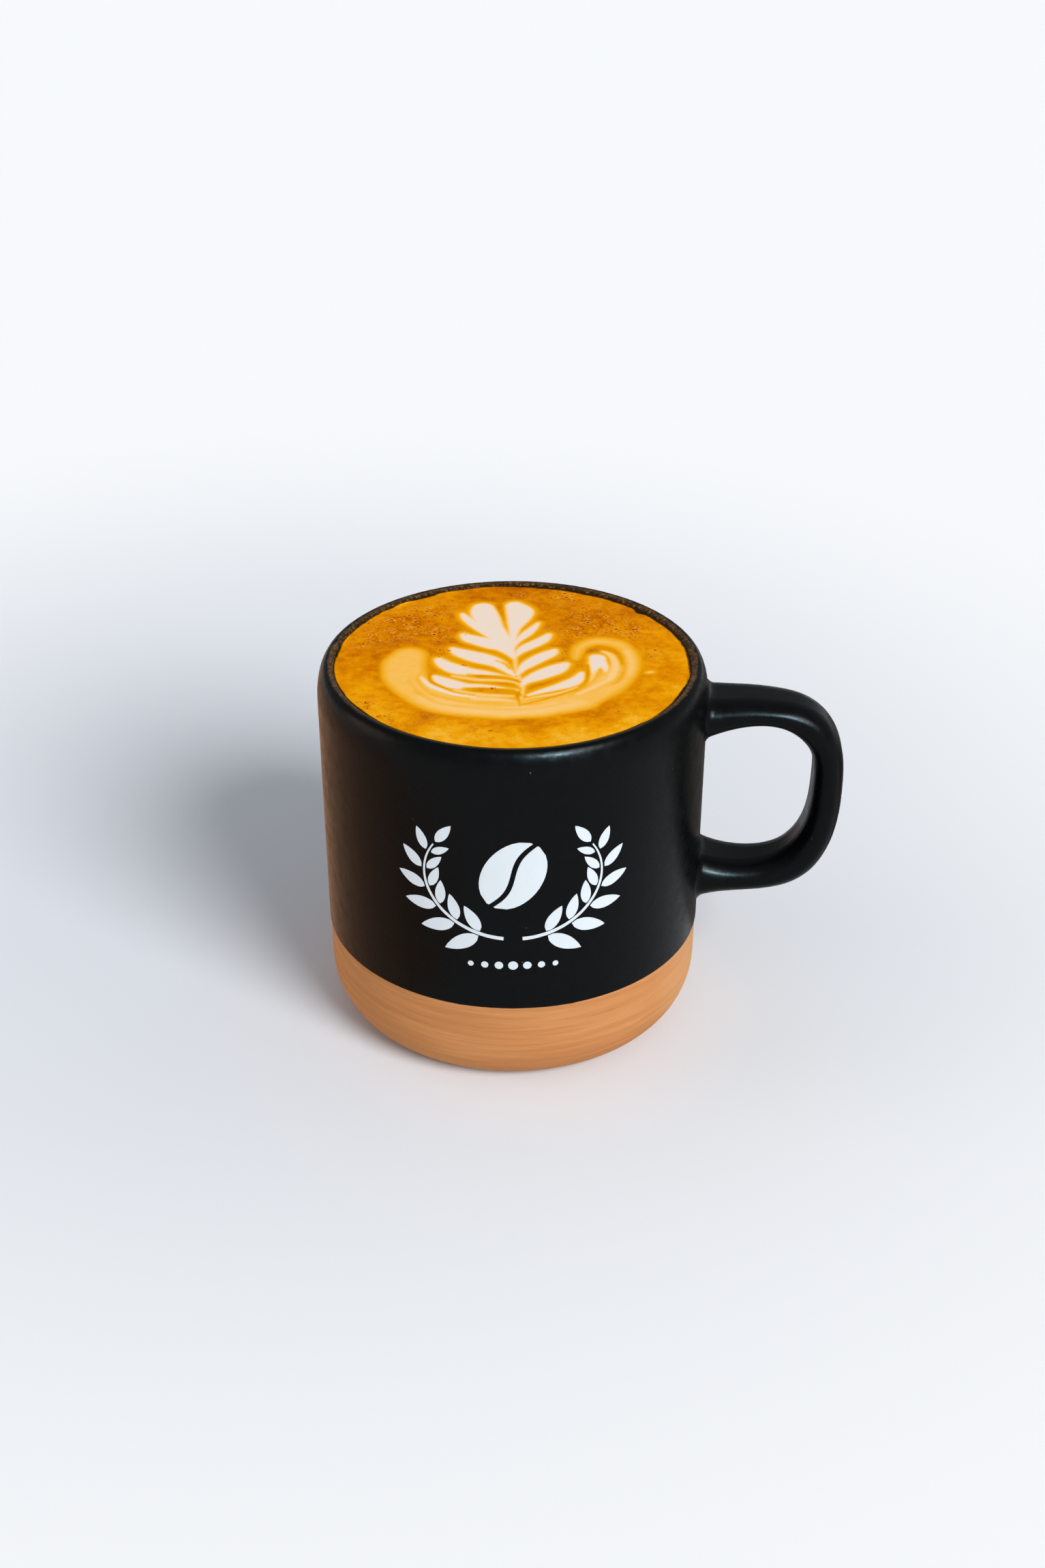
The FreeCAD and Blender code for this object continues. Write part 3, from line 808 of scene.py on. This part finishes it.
PRINT_HEIGHT = 0.0545      # its middle, above the foot
PRINT_THICK = 0.00006
PRINT_TONE = (0.60, 0.66, 0.71, 1.0)
PRINT_WORN = (0.40, 0.44, 0.48, 1.0)
BEAN_MIDDLE = Vector((0.0, 0.0010))
BEAN_LENGTH = 0.0175
BEAN_WIDTH = 0.0126
BEAN_LEAN = math.radians(58)
SEAM_SWAY = 0.16           # how far the bean's seam sways, as a share of its width
SEAM_HALF = 0.09           # and half of how wide it is
SPRIG_REACH = 0.0190
SPRIG_DROP = 0.0145
SPRIG_FOOT, SPRIG_SWEEP = -84, 112     # degrees along the sprig's oval
STEM_HALF = 0.00042
SPRIG_LEAVES = 6
FIRST_LEAF, LEAF_STEP, TOP_LEAF = -70, 17.5, 31
LEAF_LENGTH = 0.0084
LEAF_SHRINK = 0.0006       # how much shorter each next leaf is
LEAF_SLIM = 0.40
LEAF_LEAN = 0.78
LEAF_GAP = 0.0009
TOP_LENGTH, TOP_WIDTH = 0.0056, 0.0023
DOT_STEP, DOT_DROP = 0.0030, 0.0212
DOT_RADIUS, DOT_SHRINK = 0.00105, 0.00014
CLEAR_OF_WALL = 0.08
wall = BVHTree.FromPolygons(
    [vert.co for vert in mug.data.vertices], [list(face.vertices) for face in mug.data.polygons]
)


def enamel_patch(shape, across, along, outline_point):
    """A flat patch of small faces: a grid drawn out to the given outline."""
    grid = bmesh.ops.create_grid(shape, x_segments=across, y_segments=along, size=1.0)
    for vert in grid["verts"]:
        vert.co = outline_point(vert.co.x, vert.co.y).to_3d()
    bmesh.ops.remove_doubles(shape, verts=grid["verts"], dist=0.00002)


def enamel_leaf(shape, foot, heading, length, width):
    """A leaf from its foot, pointed at its tip and fullest below its middle."""
    lean = Matrix.Rotation(heading, 2)

    def on_leaf(u, v):
        run = (u + 1) / 2
        half = width / 2 * math.sin(math.pi * run ** 0.8) ** 0.8
        return foot + lean @ Vector((run * length, v * half))

    enamel_patch(shape, 10, 4, on_leaf)


def enamel_dot(shape, middle, radius):
    """A round dot."""
    def on_dot(u, v):
        return middle + Vector((u * math.sqrt(1 - v * v / 2), v * math.sqrt(1 - u * u / 2))) * radius

    enamel_patch(shape, 6, 6, on_dot)


def enamel_bean(shape, middle, length, width, heading):
    """Two halves of a bean, with an S-shaped seam left bare between them."""
    lean = Matrix.Rotation(heading, 2)
    for side in (1, -1):
        def on_half(u, v):
            x = u * 0.985
            seam = SEAM_SWAY * math.sin(math.pi * x) * side + SEAM_HALF
            rim = math.sqrt(1 - x * x)
            share = (v + 1) / 2
            y = (min(seam, rim) * (1 - share) + rim * share) * side
            return middle + lean @ Vector((x * length / 2, y * width / 2))

        enamel_patch(shape, 16, 6, on_half)


def on_sprig(side, swing):
    """A spot on the sprig's stem, and the way the stem heads there."""
    spot = Vector((side * SPRIG_REACH * math.cos(swing), SPRIG_DROP * math.sin(swing)))
    ahead = math.atan2(SPRIG_DROP * math.cos(swing), -side * SPRIG_REACH * math.sin(swing))
    return spot, ahead


def enamel_sprig(shape, side):
    """One sprig: a tapering stem, with a pair of leaves at every joint and
    one more at its tip."""
    def on_stem(u, v):
        share = (u + 1) / 2
        spot, ahead = on_sprig(side, math.radians(SPRIG_FOOT + SPRIG_SWEEP * share))
        half = STEM_HALF * (1 - 0.6 * share)
        return spot + Matrix.Rotation(ahead, 2) @ Vector((0.0, v * half))

    enamel_patch(shape, 40, 2, on_stem)
    for joint in range(SPRIG_LEAVES):
        spot, ahead = on_sprig(side, math.radians(FIRST_LEAF + LEAF_STEP * joint))
        size = LEAF_LENGTH - LEAF_SHRINK * joint
        for aside, share in ((-side, 1.0), (side, 0.8)):
            heading = ahead + aside * LEAF_LEAN
            foot = spot + Matrix.Rotation(heading, 2) @ Vector((LEAF_GAP, 0.0))
            enamel_leaf(shape, foot, heading, size * share, size * share * LEAF_SLIM)
    spot, ahead = on_sprig(side, math.radians(TOP_LEAF))
    enamel_leaf(shape, spot, ahead, TOP_LENGTH, TOP_WIDTH)


def print_shape(shape):
    """The ornament drawn flat, given a back, and laid on the wall."""
    enamel_bean(shape, BEAN_MIDDLE, BEAN_LENGTH, BEAN_WIDTH, BEAN_LEAN)
    for side in (1, -1):
        enamel_sprig(shape, side)
    for dot in range(-3, 4):
        enamel_dot(shape, Vector((dot * DOT_STEP, -DOT_DROP)), DOT_RADIUS - DOT_SHRINK * abs(dot))
    outer = list(shape.faces)
    sunk = bmesh.ops.extrude_face_region(shape, geom=outer, use_keep_orig=True)
    inner = {item for item in sunk["geom"] if isinstance(item, bmesh.types.BMVert)}
    for vert in shape.verts:
        turn = vert.co.x / mug_high.y + VIEW_TURN
        outward = Vector((math.sin(turn), -math.cos(turn), 0.0))
        height = Vector((0.0, 0.0, PRINT_HEIGHT + vert.co.y))
        on_wall = wall.ray_cast(height + outward * CLEAR_OF_WALL, -outward)[0]
        vert.co = on_wall + outward * (-PRINT_THICK if vert in inner else PRINT_THICK)
    bmesh.ops.recalc_face_normals(shape, faces=shape.faces)


def print_finish():
    material, nodes, links, surface = material_parts("pale_enamel")
    place = object_place(nodes)
    worn = place_group(nodes, links, MOTTLE, place, Per_Metre=900.0, Low=0.55, High=0.85)
    worn = sum_of(nodes, links, "MULTIPLY", worn, 0.12)
    links.new(blend_tone(nodes, links, worn, PRINT_TONE, PRINT_WORN), surface.inputs["Base Color"])
    surface.inputs["Roughness"].default_value = 0.5
    surface.inputs["Specular IOR Level"].default_value = 0.2
    return material


ornament = plain_piece("front_ornament", print_shape)
ornament.data.materials.append(print_finish())
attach(ornament, "root")

# --- the light --------------------------------------------------------------
# A large soft lamp to the right and front, a cool window that shows only as a
# gleam, a faint warm fill from the left, and pale light all round. Two tinted
# cards lie on the floor and show only in the glaze.

CARD_LIFT = 0.001
SKY_TONE = (0.93, 0.96, 1.0, 1.0)
SKY_LIGHT, SKY_SEEN = 0.42, 0.95


def lamp_at(name, at, energy, tone, spread):
    """A far lamp that shines from this side, spread over so many degrees."""
    lamp = bpy.data.lights.new(name, "SUN")
    lamp.energy = energy
    lamp.color = tone
    lamp.angle = math.radians(spread)
    holder = bpy.data.objects.new(name, lamp)
    holder.location = at
    holder.rotation_euler = (Vector((0, 0, 0.04)) - Vector(at)).to_track_quat("-Z", "Y").to_euler()
    bpy.context.scene.collection.objects.link(holder)
    return holder


def card_at(name, low, high, tone):
    """A thin tinted card on the floor that shows only as a reflection."""
    def card_shape(shape):
        bmesh.ops.create_grid(shape, x_segments=1, y_segments=1, size=0.5)
        bmesh.ops.scale(shape, vec=(high[0] - low[0], high[1] - low[1], 1.0), verts=shape.verts)
        middle = ((low[0] + high[0]) / 2, (low[1] + high[1]) / 2, CARD_LIFT)
        bmesh.ops.translate(shape, vec=middle, verts=shape.verts)

    material, nodes, links, surface = material_parts(name)
    surface.inputs["Base Color"].default_value = (0.0, 0.0, 0.0, 1.0)
    surface.inputs["Emission Color"].default_value = tone + (1.0,)
    surface.inputs["Emission Strength"].default_value = 1.0
    card = plain_piece(name, card_shape)
    card.data.materials.append(material)
    for ray in ("camera", "diffuse", "transmission", "shadow"):
        setattr(card, "visible_" + ray, False)


lamp_at("key", (0.58, -0.66, 0.66), 3.1, (1.0, 0.985, 0.96), 28.0)
window = lamp_at("window", (0.41, -0.76, 0.54), 7.3, (0.50, 0.84, 1.0), 9.0)
window.visible_diffuse = False
lamp_at("warm_fill", (-0.60, -0.05, 0.12), 0.80, (1.0, 0.78, 0.60), 35.0)
card_at("brown_card", (-0.40, -0.10), (-0.040, 0.40), (0.80, 0.43, 0.25))
card_at("dark_card", (0.044, 0.02), (0.40, 0.40), (0.16, 0.14, 0.13))
surround = bpy.data.worlds.new("surround")
surround.use_nodes = True
sky = surround.node_tree
sky.nodes["Background"].inputs["Color"].default_value = SKY_TONE
seen_by_eye = sky.nodes.new("ShaderNodeLightPath").outputs["Is Camera Ray"]
strength = rescale(sky.nodes, sky.links, seen_by_eye, 0.0, 1.0, SKY_LIGHT, SKY_SEEN)
sky.links.new(strength, sky.nodes["Background"].inputs["Strength"])
bpy.context.scene.world = surround
